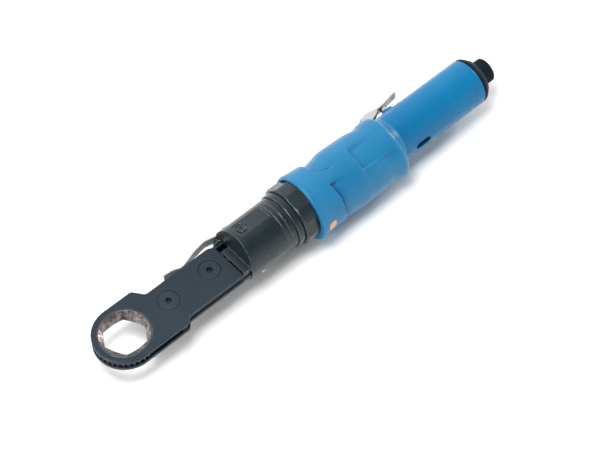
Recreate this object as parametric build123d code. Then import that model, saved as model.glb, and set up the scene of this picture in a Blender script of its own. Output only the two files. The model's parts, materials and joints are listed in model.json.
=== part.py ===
from build123d import *
from math import atan2, cos, degrees, pi, radians, sin, tan
import os

# Straight closed-end air ratchet with a through-hole hex ring.
# Millimetres. Origin: centre of the hex ring, half-way through the head.
# +X runs along the tool to the air inlet, +Z is up through the ring,
# and the throttle lever and the leaf spring are on the +Y side.

# ---------------------------------------------------------------- head
HEAD_R = 21.6                 # round front of the two head plates
PLATE_OUT = 5.0               # outer face of each plate, from the mid plane
PLATE_IN = 2.4                # inner face of each plate
PLATE_END = 84.3              # rear end of the plates
PLATE_LEFT = 13.6             # +Y edge of the plates behind the head
PLATE_RIGHT = 17.4            # -Y edge of the plates behind the head
PLATE_CORNER_R = 5.0          # rounded rear corner beside the leaf spring
PLATE_CHAMFER = 0.5
STEP_LEFT = (22.5, 28.5)      # X of the slanting step behind the round front, +Y side
STEP_RIGHT = (35.5, 39.5)     # the same on the -Y side
STEP_ROUND = 3.0
GAP_INSET = 0.9               # the frame between the plates sits this far inside their edge
FIT = 0.06                    # radial clearance of a running fit
LAYER_GAP = 0.12              # clearance between parts that slide over each other
SLACK = 0.05                  # radial clearance of parts that only fit together
REACH = 30.0                  # far enough to cut right through the tool

RAIL_LEFT = 11.2              # inner edge of the frame's +Y rail
RAIL_RIGHT = 15.2             # inner edge of its -Y rail
LEAF_WINDOW = (47.0, 64.0)    # opening in the +Y rail for the pawl's tail
RAIL_FOOT_RIGHT = 13.6        # inner edge of the -Y rail inside the case
RAIL_FOOT_END = 97.0          # rear end of both rails inside the case
SHANK_X = (94.5, 111.0)       # round shank of the frame inside the case
SHANK_R = 12.6
SHANK_FLANGE_R = 15.6
SHANK_BORE_R = 6.2            # bore for the needle bearing

HEX_AF = 27.0                 # hex of the ring, across flats
HEX_TURN = -3.0               # direction of one hex corner, degrees from +X
RING_LIP_R = 18.3             # collar of the ring that runs in the plates
RING_MOUTH_R = 16.9           # mouth of the lead-in cone
RING_LIP_TOP = 5.0
TOOTH_COUNT = 36
TOOTH_TIP_R = 20.9
TOOTH_ROOT_R = 19.3
TOOTH_PHASE = 1.0             # angle of the drive flank's foot, degrees
TOOTH_LAND = (6.6, 7.9)       # the flat tooth crest, in degrees past the foot
RING_EDGE = 0.4               # chamfer round the collar
MOUTH_CONE = 35.0             # slope of the lead-in cone, degrees

FRONT_PIVOT = (36.2, 0.0)     # screw that carries the holding pawl
REAR_PIVOT = (70.7, 0.0)      # screw that carries the drive rocker
PIVOT_BUSH_R = 3.2
SCREW_HEAD_R = 7.5
SCREW_HEAD_DEEP = 1.5
SCREW_SHANK_R = 2.0
SCREW_SOCKET_AF = 3.8
SCREW_SOCKET_DEEP = 2.0
SCREW_EDGE = 0.3              # chamfer round the heads of the screws and nuts
SPANNER_HOLE = (4.8, 1.0, 0.9)  # offset, radius and depth of the nuts' spanner holes
PAWL_PIN = (23.0, 8.5)        # drive pawl pin, at the rocker's rest
PAWL_PIN_R = 1.2
HOLDING_EYE_R = 5.2
ROCKER_EYE_R = 6.6
PAWL_EYE_R = 2.4
HOLDING_TOOTH = 5             # teeth from the holding pawl's nose to the drive pawl's

# ---------------------------------------------------------------- leaf spring
LEAF_THICK = 1.0
LEAF_WIDE = 7.0
LEAF_PIVOT = (100.0, 17.9)    # the clamp screw, at the inner face of the spring's foot
LEAF_ROUTE = [(103.0, 18.4), (91.0, 18.4), (82.5, 20.2), (72.5, 18.55), (59.0, 14.1), (54.0, 16.8),
              (46.4, 17.4)]
LEAF_SLOT_Y = 17.6            # floor of the flat slot for the foot on the case
LEAF_SLOT_WIDE = 8.8
LEAF_SLOT_END = 104.0
LEAF_SCREW_R = 1.45
LEAF_SCREW_FOOT = 13.4        # inner end of the clamp screw
LEAF_SCREW_HEAD_R = 2.6
LEAF_SCREW_HEAD_DEEP = 1.5
LEAF_BEND_R = 8.0

# ---------------------------------------------------------------- gear case
CASE_R = 18.8
CASE_TONGUE_X = 85.3          # front face of the flat tongue
CASE_SHOULDER_X = 91.0        # foot of the leaning front face
CASE_TONGUE_TOP = 5.2
CASE_LEAN = 12.0              # lean of the front face, degrees
CASE_MOUTH = 3.6              # half height of the case's open mouth
CASE_NOTCH_LEFT = 5.0         # the case's shoulder is notched beyond this Y
CASE_FACE_LEFT = 16.8         # flat +Y side of the tongue
CASE_FACE_RIGHT = 17.2        # flat -Y side of the tongue
NOTCH_POST = (88.6, 15.1)
NOTCH_POST_R = 2.1
NOTCH_POST_TOP = 3.2
CASE_FRONT_CUT = 60.0         # cuts in the case start this far forward, clear of it
CASE_END = 131.0
SPIGOT_END = 141.0
SPIGOT_BORE_R = 15.4
GEAR_BORE_X = (113.0, 127.0)  # wider bore for the gears
CASE_BORE_R = 16.0
GROOVE_X = 126.8
GROOVE_DEEP = 0.45
SPIGOT_R = 17.4
CASE_SCREW_X = 102.0          # clamp screw in the flat recess on top
CASE_SCREW_R = 2.45
CASE_SCREW_HEAD_R = 3.5
CASE_SCREW_FOOT = 12.7
CASE_SCREW_HEAD = (16.5, 18.1)
CASE_SINK_R = 4.4             # counterbore round the screw's head
GREASE_X = 101.5
GREASE_TURN = 116.0           # direction of the grease nipple, degrees from +Z towards -Y
GREASE_R = 1.9
RECESS_X = (97.0, 121.0)
RECESS_TURN = 13.0            # the recess faces this far from +Z towards +Y
RECESS_DEPTH = 1.1

# ---------------------------------------------------------------- crank and gears
CRANK_THROW = 0.8
CRANK_PIN_X = 85.9            # front end of the eccentric pin
CRANK_PIN_R = 1.3
CRANK_TOUCH_X = 89.0          # middle of the crank's length inside the fork
CRANK_BUSH_R = 2.1
CRANK_BUSH_LONG = 6.0
CRANK_WEB = (92.6, 95.0, 3.4)  # start, end and radius
CRANK_SHAFT_R = 4.0
CARRIER_X = (112.0, 116.6)
CARRIER_R = 12.4
NEEDLE_CUP_X = (96.0, 110.0)
NEEDLE_COUNT = 14
NEEDLE_R = 0.75
GEAR_MODULE = 0.7
SUN_TEETH = 12
PLANET_TEETH = 15
RING_TEETH = 42
PLANET_ORBIT = (SUN_TEETH + PLANET_TEETH) * GEAR_MODULE / 2
GEAR_X = (118.0, 124.0)
ADDENDUM = 0.6
DEDENDUM = 0.95
PRESSURE_ANGLE = 20.0
SUN_BORE_R = 2.0
BACKLASH = 0.22
PLANET_PIN_R = 1.5
PLANET_COUNT = 3

# ---------------------------------------------------------------- motor
MOTOR_X = (142.0, 221.0)
MOTOR_R = 18.6
MOTOR_BORE_R = 16.6
ROTOR_X = (152.0, 202.0)
ROTOR_R = 11.2
LINER_BORE_R = 13.2
LINER_OFFSET = 1.75
VANE_COUNT = 5
VANE_DEEP = 5.5
VANE_THICK = 1.4
SHAFT_R = 3.95                # rotor shaft in its bearings
SHAFT_X = (130.0, 213.0)
BEARING_R = 8.0
BEARING_BORE_R = 4.0
BEARING_WIDE = 6.0
BALL_COUNT = 9
FRONT_PLATE_X = (142.6, 151.5)
REAR_PLATE_X = (202.5, 212.5)
FRONT_BEARING_X = 143.0
REAR_BEARING_X = 205.0
AIR_HOLES = (160.0, 10.0, 4)  # first hole, spacing and number of the liner's air holes
LEVER_SLOT_X = 217.0          # the barrel is slotted behind this for the lever

# ---------------------------------------------------------------- nut, sleeve, handle
LOCK_RING_X = (131.2, 136.2)
LOCK_RING_R = 19.9
NUT_X = (136.4, 149.0)
NUT_R = 21.9
NUT_FLAT_DEEP = 0.9
NUT_FLAT_TURN = 15.0
NUT_STEP = 1.6                # length of the nut's thin rear lip
NUT_LIP = 1.5                 # wall of that lip
SLEEVE_X = (147.6, 236.5)
SLEEVE_BORE_R = 18.75
SLEEVE_MOUTH_R = 21.6         # the grip's mouth round the rear of the nut
SLEEVE_SLOT_X = 219.0         # the grip is open behind this for the lever
# Sections of the grip: X, then its reach towards +Y, towards -Y and towards +-Z.
# It has two finger waists on the lever side, is fuller on the palm side and ends in a shoulder.
GRIP_SECTIONS = [(147.6, 22.4, 25.4, 23.7), (148.8, 23.2, 26.5, 24.6), (157.0, 22.3, 25.3, 24.0),
                 (163.0, 21.5, 25.0, 23.6), (168.0, 20.0, 24.7, 23.3), (181.0, 21.6, 25.2, 23.8),
                 (190.0, 21.4, 25.6, 23.9), (200.0, 20.9, 25.9, 23.5), (209.5, 19.2, 25.2, 23.2),
                 (214.0, 20.2, 25.4, 23.5), (219.0, 20.9, 26.4, 24.1), (221.8, 20.3, 26.3, 23.8),
                 (224.2, 18.7, 25.8, 22.3), (226.6, 17.9, 24.7, 20.5), (229.0, 17.7, 22.8, 19.3),
                 (232.3, 17.6, 20.0, 18.3), (236.5, 17.5, 17.6, 17.5)]
TUBE_X = (221.2, 303.8)
TUBE_R = 17.2
TUBE_BORE_R = 14.6
TUBE_REAR_ROUND = 1.2
TUBE_COLLAR = 8.2             # length screwed into the motor barrel
CAP_X = (303.8, 310.0)
CAP_R = 17.0
CAP_SPIGOT = 5.0              # how far the cap reaches into the tube
CAP_SPIGOT_BORE_R = 12.2
CAP_ROUND = 3.0
CAP_O_RING_X = 301.4
CAP_O_RING_R = 13.85
AIR_TUBE_X = (256.1, 307.0)
AIR_TUBE_R = 8.4
AIR_TUBE_BORE_R = 6.6
INLET_END = 320.2
INLET_R = 9.5
INLET_FOOT_R = 10.15          # part of the boss inside the cap
INLET_AF = 17.6               # spanner flats of the inlet boss
INLET_THREAD_R = 5.72
INLET_DEPTH = 12.0

# ---------------------------------------------------------------- throttle
PORT_AT = (245.2, 0.5)        # exhaust slot on the -Y side
PORT_LONG = 13.0
PORT_HIGH = 5.6
LEVER_PIN = (229.5, 21.4)
LEVER_PIN_R = 1.5
LUG_HALF = 3.0                # half length of the lug that carries the lever
LEVER_WIDE = 6.5
LEVER_THICK = 1.1
# Middle of the lever's strip in its side view, from the pin: an S-curve with a raised tip.
LEVER_ROUTE = [(-5.0, 2.6), (0.5, 3.9), (4.5, 3.9), (8.0, 2.85), (11.0, 2.2), (15.0, 2.45), (18.5, 2.9),
               (24.5, 4.1), (29.5, 4.6)]
LEVER_CHEEK = [(-4.2, 2.3), (-2.6, -2.2), (2.6, -2.2), (9.0, 0.6), (11.0, 2.2), (8.0, 2.85), (4.5, 3.9),
               (0.5, 3.9)]    # side view of the two cheeks, from the pin
LEVER_EYE_R = 3.0
LEVER_BEND_R = 4.0
VALVE_X = 244.5
BOSS_R = 5.6
BOSS_TOP = 18.4
BOSS_BORE_R = 4.2
VALVE_BODY_X = (233.5, 256.0)
VALVE_BODY_R = 12.4
AIR_BORE_R = 6.0              # wide ends of the air passage through the valve body
AIR_HOLE_R = 3.0              # narrow middle of that passage
POPPET_BORE_R = 3.4
STEM_R = 1.5
POPPET_R = 2.8
SPRING_R = 2.2
SPRING_WIRE_R = 0.35
SPRING_PITCH = 1.7
SPRING_HIGH = 7.2
SPRING_FOOT = -7.0
BUTTON_TOP = 23.15
BUTTON_R = 2.6
BUTTON_HIGH = 2.9

NODES = {}


def rod(start, end, radius, y=0.0, z=0.0):
    """A solid cylinder along X."""
    place = Plane(origin=((start + end) / 2, y, z), x_dir=(0, 1, 0), z_dir=(1, 0, 0))
    return place * Cylinder(radius, end - start)


def pipe(start, end, outer, inner, y=0.0, z=0.0):
    """A tube along X."""
    return rod(start, end, outer, y, z) - rod(start - 1, end + 1, inner, y, z)


def post(at, low, high, radius):
    """A solid cylinder along Z."""
    return Pos(at[0], at[1], (low + high) / 2) * Cylinder(radius, high - low)


def stud(x, low, high, radius, z=0.0):
    """A solid cylinder along Y."""
    place = Plane(origin=(x, (low + high) / 2, z), x_dir=(1, 0, 0), z_dir=(0, 1, 0))
    return place * Cylinder(radius, high - low)


def block(x, y, z):
    """A box between two values on each axis."""
    size = [high - low for low, high in (x, y, z)]
    return Pos(*[(low + high) / 2 for low, high in (x, y, z)]) * Box(*size)


def slab(face, low, high):
    """A flat face in XY raised from low to high in Z."""
    return extrude(Pos(0, 0, low) * face, high - low, dir=(0, 0, 1))


def polar(radius, angle):
    """A point round the ring's centre."""
    return (radius * cos(radians(angle)), radius * sin(radians(angle)))


def outline(points):
    """A closed flat face through straight-sided corners."""
    return make_face(Polyline(*points, close=True))


def turned(profile):
    """A solid turned about X from (x, radius) corners."""
    face = make_face(Polyline(*[(x, 0, r) for x, r in profile], close=True))
    return revolve(face, Axis.X)


def eye(at, radius):
    """A disc to add to a flat face."""
    return Pos(*at) * Circle(radius)


def keep(name, shape):
    """Store the finished solids of one node."""
    solids = shape.solids()
    NODES[name] = solids[0] if len(solids) == 1 else Compound(children=list(solids))


# ================================================================ head
def plate_face(inset=0.0):
    """Plan of a head plate: round front, an uneven pair of shoulders, narrow rear."""
    nose = HEAD_R - inset
    left, right = PLATE_LEFT - inset, -PLATE_RIGHT + inset
    with BuildSketch() as plan:
        with BuildLine():
            front = CenterArc((0, 0), nose, 90, 180)
            low = Line(front @ 1, (STEP_RIGHT[0] - inset, -nose))
            low_step = Line(low @ 1, (STEP_RIGHT[1] - inset, right))
            low_edge = Line(low_step @ 1, (PLATE_END, right))
            rear = Line(low_edge @ 1, (PLATE_END, left))
            high_edge = Line(rear @ 1, (STEP_LEFT[1] - inset, left))
            high_step = Line(high_edge @ 1, (STEP_LEFT[0] - inset, nose))
            Line(high_step @ 1, front @ 0)
        make_face()
        soft = [v for v in plan.vertices() if STEP_LEFT[0] - 2 < v.X < STEP_RIGHT[1] + 2]
        fillet(soft, STEP_ROUND)
    return plan.sketch


def head_plate(side):
    """One plate, side +1 above and -1 below, with a bore for the ring's collar."""
    low, high = sorted((side * PLATE_IN, side * PLATE_OUT))
    body = slab(plate_face(), low, high)
    corners = body.edges().filter_by(Axis.Z).group_by(Axis.X)[-1]
    body = fillet(corners.sort_by(Axis.Y)[-1], PLATE_CORNER_R)
    outer = body.faces().sort_by(Axis.Z)[-1 if side > 0 else 0]
    body = chamfer(outer.outer_wire().edges(), PLATE_CHAMFER)
    body -= post((0, 0), low - 1, high + 1, RING_LIP_R + FIT)
    for pivot in (FRONT_PIVOT, REAR_PIVOT):
        body -= post(pivot, low - 1, high + 1, SCREW_SHANK_R + 0.2)
        deep = sorted((side * (PLATE_OUT - SCREW_HEAD_DEEP), side * (PLATE_OUT + 1)))
        body -= post(pivot, deep[0], deep[1], SCREW_HEAD_R + 0.3)
    return body


def head_frame():
    """Side rails between the plates, joined to a round shank inside the gear case."""
    rails = slab(plate_face(GAP_INSET), -PLATE_IN, PLATE_IN)
    hollow = outline([(-2 * HEAD_R, -2 * HEAD_R), (27.0, -2 * HEAD_R), (31.0, -19.0), (38.0, -RAIL_RIGHT),
                      (PLATE_END + 1, -RAIL_RIGHT), (PLATE_END + 1, RAIL_LEFT), (30.5, RAIL_LEFT),
                      (25.5, 16.0), (25.5, 2 * HEAD_R), (-2 * HEAD_R, 2 * HEAD_R)])
    rails -= slab(hollow, -PLATE_IN - 1, PLATE_IN + 1)
    rails -= block(LEAF_WINDOW, (9, 20), (-0.4, PLATE_IN + 1))
    foot = (PLATE_END - 2, RAIL_FOOT_END)
    right = block(foot, (-PLATE_RIGHT + GAP_INSET, -RAIL_FOOT_RIGHT), (-PLATE_IN, PLATE_IN))
    right &= rod(foot[0] - 1, foot[1] + 1, SPIGOT_R)
    left = block(foot, (RAIL_LEFT, PLATE_LEFT - GAP_INSET), (-PLATE_IN, PLATE_IN))
    shank = pipe(*SHANK_X, SHANK_R, SHANK_BORE_R)
    shank += pipe(SHANK_X[0], RAIL_FOOT_END, SHANK_FLANGE_R, SHANK_BORE_R)
    return rails + right + left + shank


def ratchet_ring():
    """Ring with a through hex, a lead-in cone at each mouth and saw teeth outside."""
    step = 360 / TOOTH_COUNT
    corners = []
    for index in range(TOOTH_COUNT):
        foot = TOOTH_PHASE + index * step
        corners += [polar(TOOTH_ROOT_R, foot), polar(TOOTH_TIP_R, foot + TOOTH_LAND[0]),
                    polar(TOOTH_TIP_R, foot + TOOTH_LAND[1])]
    half = PLATE_IN - LAYER_GAP
    body = slab(outline(corners), -half, half)
    body += post((0, 0), -RING_LIP_TOP, RING_LIP_TOP, RING_LIP_R)
    for end in (-1, 0):
        body = chamfer(body.edges().filter_by(GeomType.CIRCLE).group_by(Axis.Z)[end], RING_EDGE)
    flat = HEX_AF / 2
    hexagon = Rot(0, 0, HEX_TURN) * RegularPolygon(flat, 6, major_radius=False)
    body -= slab(hexagon, -RING_LIP_TOP - 1, RING_LIP_TOP + 1)
    deep = (RING_MOUTH_R - flat) * tan(radians(MOUTH_CONE))
    for side in (1, -1):
        cone = Cone(flat, RING_MOUTH_R, deep)
        turn = Rot(0, 0, 0) if side > 0 else Rot(180, 0, 0)
        body -= Pos(0, 0, side * (RING_LIP_TOP - deep / 2)) * turn * cone
    return body


def head_screws():
    """Two flush screws with a small hex socket, on the centre line."""
    group = []
    for pivot in (FRONT_PIVOT, REAR_PIVOT):
        head = post(pivot, PLATE_OUT - SCREW_HEAD_DEEP, PLATE_OUT, SCREW_HEAD_R)
        head = chamfer(head.edges().group_by(Axis.Z)[-1], SCREW_EDGE)
        body = head + post(pivot, -PLATE_OUT + 0.6, PLATE_OUT - 1, SCREW_SHANK_R)
        socket = Pos(*pivot) * RegularPolygon(SCREW_SOCKET_AF / 2, 6, major_radius=False)
        group.append(body - slab(socket, PLATE_OUT - SCREW_SOCKET_DEEP, PLATE_OUT + 1))
    return Compound(children=group)


def head_nuts():
    """Two flush round nuts under the head, each with two spanner holes."""
    group = []
    for pivot in (FRONT_PIVOT, REAR_PIVOT):
        body = post(pivot, -PLATE_OUT, -PLATE_OUT + SCREW_HEAD_DEEP, SCREW_HEAD_R)
        body = chamfer(body.edges().group_by(Axis.Z)[0], SCREW_EDGE)
        body -= post(pivot, -PLATE_OUT - 1, 0, SCREW_SHANK_R + 0.02)
        offset, radius, deep = SPANNER_HOLE
        for side in (-1, 1):
            hole = (pivot[0] + side * offset, pivot[1])
            body -= post(hole, -PLATE_OUT - 1, -PLATE_OUT + deep, radius)
        group.append(body)
    return Compound(children=group)


def pivot_bushes():
    """Two sleeves that hold the plates apart and carry the pawl and the rocker."""
    group = []
    for pivot in (FRONT_PIVOT, REAR_PIVOT):
        bush = post(pivot, -PLATE_IN, PLATE_IN, PIVOT_BUSH_R)
        group.append(bush - post(pivot, -PLATE_IN - 1, PLATE_IN + 1, SCREW_SHANK_R + SLACK))
    return Compound(children=group)


def holding_pawl():
    """Straight lever on the front bush, in the upper layer.

    Its nose stops the ring turning back and its tail meets the leaf spring.
    """
    foot = TOOTH_PHASE - HOLDING_TOOTH * 360 / TOOTH_COUNT
    nose = [polar(TOOTH_ROOT_R + 0.5, foot + 0.6), polar(TOOTH_TIP_R + 0.4, foot - 1.9),
            polar(23.8, foot - 1.5), (31.5, -7.4), (40.5, -1.5), (58.6, 10.6), (60.0, 12.9), (58.2, 14.0),
            (35.5, 4.0), (30.0, 0.6), (25.2, -3.6), polar(TOOTH_TIP_R + 0.45, foot + 8.6)]
    arm = outline(nose) + eye(FRONT_PIVOT, HOLDING_EYE_R)
    body = slab(arm, LAYER_GAP / 2, PLATE_IN - LAYER_GAP)
    return body - post(FRONT_PIVOT, -3, 3, PIVOT_BUSH_R + FIT)


def drive_rocker():
    """Rocker on the rear bush, in the lower layer, with a fork for the crank at its rear."""
    arm = outline([(64, -3.4), (50, 0.0), (42, 4.4), (30, 4.4), (24, 6.0), (22.4, 10.9), (26, 9.6),
                   (29, 7.5), (38, 7.2), (46, 6.6), (56, 5.2), (66, 5.2)])
    arm += eye(REAR_PIVOT, ROCKER_EYE_R) + eye(PAWL_PIN, PAWL_EYE_R + 0.1)
    turn = degrees(CRANK_THROW / (CRANK_TOUCH_X - REAR_PIVOT[0]))
    reach = CRANK_BUSH_R + 2 * CRANK_THROW + 0.3
    fork = outline([(4, -6.2), (13.5, -7.2), (21.0, -7.2), (21.0, -reach), (13.0, -reach),
                    (13.0, reach), (21.0, reach), (21.0, 7.2), (13.5, 7.2), (4, 6.2)])
    arm += Pos(*REAR_PIVOT) * Rot(0, 0, turn) * fork
    body = slab(arm, -PLATE_IN + LAYER_GAP, -LAYER_GAP / 2)
    body -= post(REAR_PIVOT, -3, 3, PIVOT_BUSH_R + FIT)
    body -= post(FRONT_PIVOT, -3, 3, PIVOT_BUSH_R + 1.2)
    return body - post(PAWL_PIN, -3, 3, PAWL_PIN_R)


def rocker_boss():
    """Upper half of the rocker's eye, so that it bears on the whole bush."""
    lift = slab(eye(REAR_PIVOT, ROCKER_EYE_R), -LAYER_GAP / 2, PLATE_IN - LAYER_GAP)
    return lift - post(REAR_PIVOT, -3, 3, PIVOT_BUSH_R + FIT)


def drive_pawl_pin():
    """Pin pressed in the rocker's nose."""
    return post(PAWL_PIN, -PLATE_IN + LAYER_GAP, PLATE_IN - LAYER_GAP, PAWL_PIN_R)


def drive_pawl():
    """Small pawl on the rocker's pin, in the upper layer, that pushes the ring round."""
    foot = TOOTH_PHASE
    shape = outline([polar(TOOTH_ROOT_R + 0.35, foot + 0.5), polar(TOOTH_TIP_R + 1.0, foot - 2.3),
                     polar(TOOTH_TIP_R + 2.4, foot - 1.0), (25.2, 6.5), (24.5, 9.9), (21.6, 8.8),
                     polar(TOOTH_TIP_R + 0.55, foot + 8.8)])
    shape += eye(PAWL_PIN, PAWL_EYE_R)
    body = slab(shape, LAYER_GAP / 2, PLATE_IN - LAYER_GAP)
    return body - post(PAWL_PIN, -3, 3, PAWL_PIN_R + FIT)


# ================================================================ leaf spring
def leaf_spring():
    """Flat spring: a foot in the case's side slot, a bow, a touch point and a flared tab."""
    strip = trace(FilletPolyline(*LEAF_ROUTE, radius=LEAF_BEND_R), line_width=LEAF_THICK)
    body = slab(strip, -LEAF_WIDE / 2, LEAF_WIDE / 2)
    return body - stud(LEAF_PIVOT[0], 10, 30, LEAF_SCREW_R + 0.25)


def leaf_screw():
    """Screw that holds the spring's foot in the slot on the case's side."""
    x, y = LEAF_PIVOT
    low = y + LEAF_THICK + 0.3
    top = low + LEAF_SCREW_HEAD_DEEP
    head = chamfer(stud(x, low, top, LEAF_SCREW_HEAD_R).edges().group_by(Axis.Y)[-1], SCREW_EDGE)
    socket = Plane(origin=(x, top, 0), x_dir=(1, 0, 0), z_dir=(0, -1, 0))
    socket = extrude(socket * RegularPolygon(1.2, 6, major_radius=False), 0.9)
    return head + stud(x, LEAF_SCREW_FOOT, low + 0.1, LEAF_SCREW_R) - socket


# ================================================================ gear case
def case_lean():
    """Everything in front of the two leaning planes, to cut from the case."""
    rise = CASE_R + 4
    run = (rise - CASE_TONGUE_TOP) * tan(radians(CASE_LEAN))
    face = make_face(Polyline((CASE_FRONT_CUT, 0, CASE_TONGUE_TOP), (CASE_SHOULDER_X, 0, CASE_TONGUE_TOP),
                              (CASE_SHOULDER_X + run, 0, rise), (CASE_FRONT_CUT, 0, rise), close=True))
    upper = extrude(face, REACH, dir=(0, 1, 0), both=True)
    return upper + mirror(upper, Plane.XY)


def recess_tool():
    """The flat recess on the case: a block whose floor faces RECESS_TURN from +Z."""
    deep = CASE_R - RECESS_DEPTH
    return Rot(-RECESS_TURN, 0, 0) * block(RECESS_X, (-REACH, REACH), (deep, deep + 10))


def gear_case():
    """Case with a flat slotted tongue in front and a threaded spigot behind."""
    body = rod(CASE_TONGUE_X, CASE_END, CASE_R) - case_lean()
    notch = (CASE_FRONT_CUT, CASE_SHOULDER_X + 0.3)
    body -= block(notch, (CASE_NOTCH_LEFT, REACH), (-CASE_MOUTH, REACH))
    body -= block(notch, (CASE_FACE_LEFT, REACH), (-REACH, REACH))
    body -= block((CASE_FRONT_CUT, CASE_SHOULDER_X), (-REACH, -CASE_FACE_RIGHT), (-REACH, REACH))
    body += pipe(CASE_END, SPIGOT_END, SPIGOT_R, SPIGOT_BORE_R)
    body -= rod(SHANK_X[1] + 0.2, SPIGOT_END + 1, SPIGOT_BORE_R) + rod(*GEAR_BORE_X, CASE_BORE_R)
    body -= head_space()
    slot = LEAF_SLOT_WIDE / 2
    body -= block((CASE_FRONT_CUT, LEAF_SLOT_END), (LEAF_SLOT_Y, REACH), (-slot, slot))
    body -= stud(LEAF_PIVOT[0], LEAF_SCREW_FOOT - 0.2, REACH, LEAF_SCREW_R + 0.03)
    body += notch_post()
    body -= recess_tool()
    for at, wide in ((GROOVE_X, 0.6), (RECESS_X[1] + 2.2, 0.4)):
        body -= pipe(at - wide / 2, at + wide / 2, CASE_R + 1, CASE_R - GROOVE_DEEP)
    body -= pipe(CASE_END - 0.5, CASE_END, REACH, CASE_R - 0.5)
    return body - case_screw_space()


def head_space():
    """Room in the case for the frame's shank, its two rails and the moving parts between them."""
    gap = PLATE_IN + SLACK
    space = rod(SHANK_X[0] - 0.1, SHANK_X[1] + 1, SHANK_R + SLACK)
    space += rod(SHANK_X[0] - 0.1, RAIL_FOOT_END + 0.1, SHANK_FLANGE_R + 0.1)
    space += block((CASE_FRONT_CUT, SHANK_X[0] + 0.1), (-11.5, REACH), (-CASE_MOUTH, CASE_MOUTH))
    right = block((CASE_FRONT_CUT, RAIL_FOOT_END + 0.1), (-REACH, -11.0), (-gap, gap))
    space += right & rod(CASE_FRONT_CUT, RAIL_FOOT_END + 1, SPIGOT_R + 0.1)
    return space + block((CASE_FRONT_CUT, RAIL_FOOT_END + 0.1), (11.0, 15.0), (-gap, gap))


def notch_post():
    """Round post with a hex socket, in the notch beside the leaf spring."""
    body = post(NOTCH_POST, -CASE_MOUTH - 0.5, NOTCH_POST_TOP, NOTCH_POST_R)
    hexagon = Pos(*NOTCH_POST) * RegularPolygon(1.25, 6, major_radius=False)
    body = chamfer(body.edges().group_by(Axis.Z)[-1], SCREW_EDGE)
    return body - slab(hexagon, NOTCH_POST_TOP - 1.6, NOTCH_POST_TOP + 1)


def case_screw_space():
    """Hole and counterbore for the clamp screw."""
    place = Rot(-RECESS_TURN, 0, 0) * Pos(CASE_SCREW_X, 0, 0)
    hole = post((0, 0), CASE_SCREW_FOOT - 0.7, REACH, CASE_SCREW_R + SLACK)
    return place * (hole + post((0, 0), CASE_SCREW_HEAD[0] - 0.1, REACH, CASE_SINK_R))


def case_screw():
    """Socket screw that clamps the head's shank in the case."""
    low, top = CASE_SCREW_HEAD
    body = post((0, 0), CASE_SCREW_FOOT, low + 0.3, CASE_SCREW_R) + post((0, 0), low, top, CASE_SCREW_HEAD_R)
    body = chamfer(body.edges().group_by(Axis.Z)[-1], 0.35)
    hexagon = RegularPolygon(1.5, 6, major_radius=False)
    body -= slab(hexagon, top - 1.3, top + 1)
    return Rot(-RECESS_TURN, 0, 0) * Pos(CASE_SCREW_X, 0, 0) * body


def grease_fitting():
    """Flush grease nipple on the lower right of the case."""
    body = post((0, 0), CASE_R - 3.5, CASE_R + 0.2, GREASE_R) + post((0, 0), CASE_R, CASE_R + 1.3, 1.2)
    body -= post((0, 0), CASE_R + 0.4, CASE_R + 2, 0.4)
    return Rot(GREASE_TURN, 0, 0) * Pos(GREASE_X, 0, 0) * body


def grease_space():
    """Hole for the grease nipple."""
    hole = post((0, 0), CASE_R - 3.6, CASE_R + 3, GREASE_R + 0.02)
    return Rot(GREASE_TURN, 0, 0) * Pos(GREASE_X, 0, 0) * hole


# ================================================================ gears
def gear_face(teeth, inner, outer, shift):
    """Gear plan whose involute flanks are drawn as arcs. Positive shift thins the teeth."""
    pitch_r = teeth * GEAR_MODULE / 2
    base_r = pitch_r * cos(radians(PRESSURE_ANGLE))

    def half_angle(radius):
        """Half the tooth's angle at a radius, from the involute."""
        def involute(value):
            ratio = min(1.0, base_r / value)
            pressure = atan2((1 - ratio * ratio) ** 0.5, ratio)
            return tan(pressure) - pressure
        at_pitch = pi / (2 * teeth) - shift / (2 * pitch_r)
        return at_pitch + involute(pitch_r) - involute(max(radius, base_r))

    levels = [inner, (inner + outer) / 2, outer]
    step = 2 * pi / teeth
    edges = []
    for index in range(teeth):
        middle = index * step
        rise = [(r * cos(middle - half_angle(r)), r * sin(middle - half_angle(r))) for r in levels]
        fall = [(r * cos(middle + half_angle(r)), r * sin(middle + half_angle(r))) for r in levels]
        start = middle + step - half_angle(inner)
        following = (inner * cos(start), inner * sin(start))
        edges += [ThreePointArc(*rise), Line(rise[2], fall[2]), ThreePointArc(*fall[::-1]),
                  Line(fall[0], following)]
    return make_face(Wire(edges))


def gear_solid(face, start, end):
    """Raise a gear plan along X."""
    return extrude(Plane(origin=(start, 0, 0), x_dir=(0, 1, 0), z_dir=(1, 0, 0)) * face, end - start)


def planet_centre(index):
    """Y and Z of a planet's axis."""
    angle = 2 * pi * index / PLANET_COUNT
    return PLANET_ORBIT * cos(angle), PLANET_ORBIT * sin(angle)


def sun_gear():
    """Gear on the rotor shaft."""
    pitch_r = SUN_TEETH * GEAR_MODULE / 2
    face = gear_face(SUN_TEETH, pitch_r - DEDENDUM, pitch_r + ADDENDUM, BACKLASH)
    return gear_solid(face, *GEAR_X) - rod(GEAR_X[0] - 1, GEAR_X[1] + 1, SUN_BORE_R)


def planet_gear(index):
    """One planet, with a space facing the sun's tooth."""
    pitch_r = PLANET_TEETH * GEAR_MODULE / 2
    face = gear_face(PLANET_TEETH, pitch_r - DEDENDUM, pitch_r + ADDENDUM, BACKLASH)
    body = gear_solid(face, GEAR_X[0] + 0.3, GEAR_X[1] - 0.3)
    body -= rod(GEAR_X[0] - 1, GEAR_X[1] + 1, PLANET_PIN_R + FIT)
    y, z = planet_centre(index)
    return Pos(0, y, z) * Rot(360 / PLANET_COUNT * index, 0, 0) * body


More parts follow.
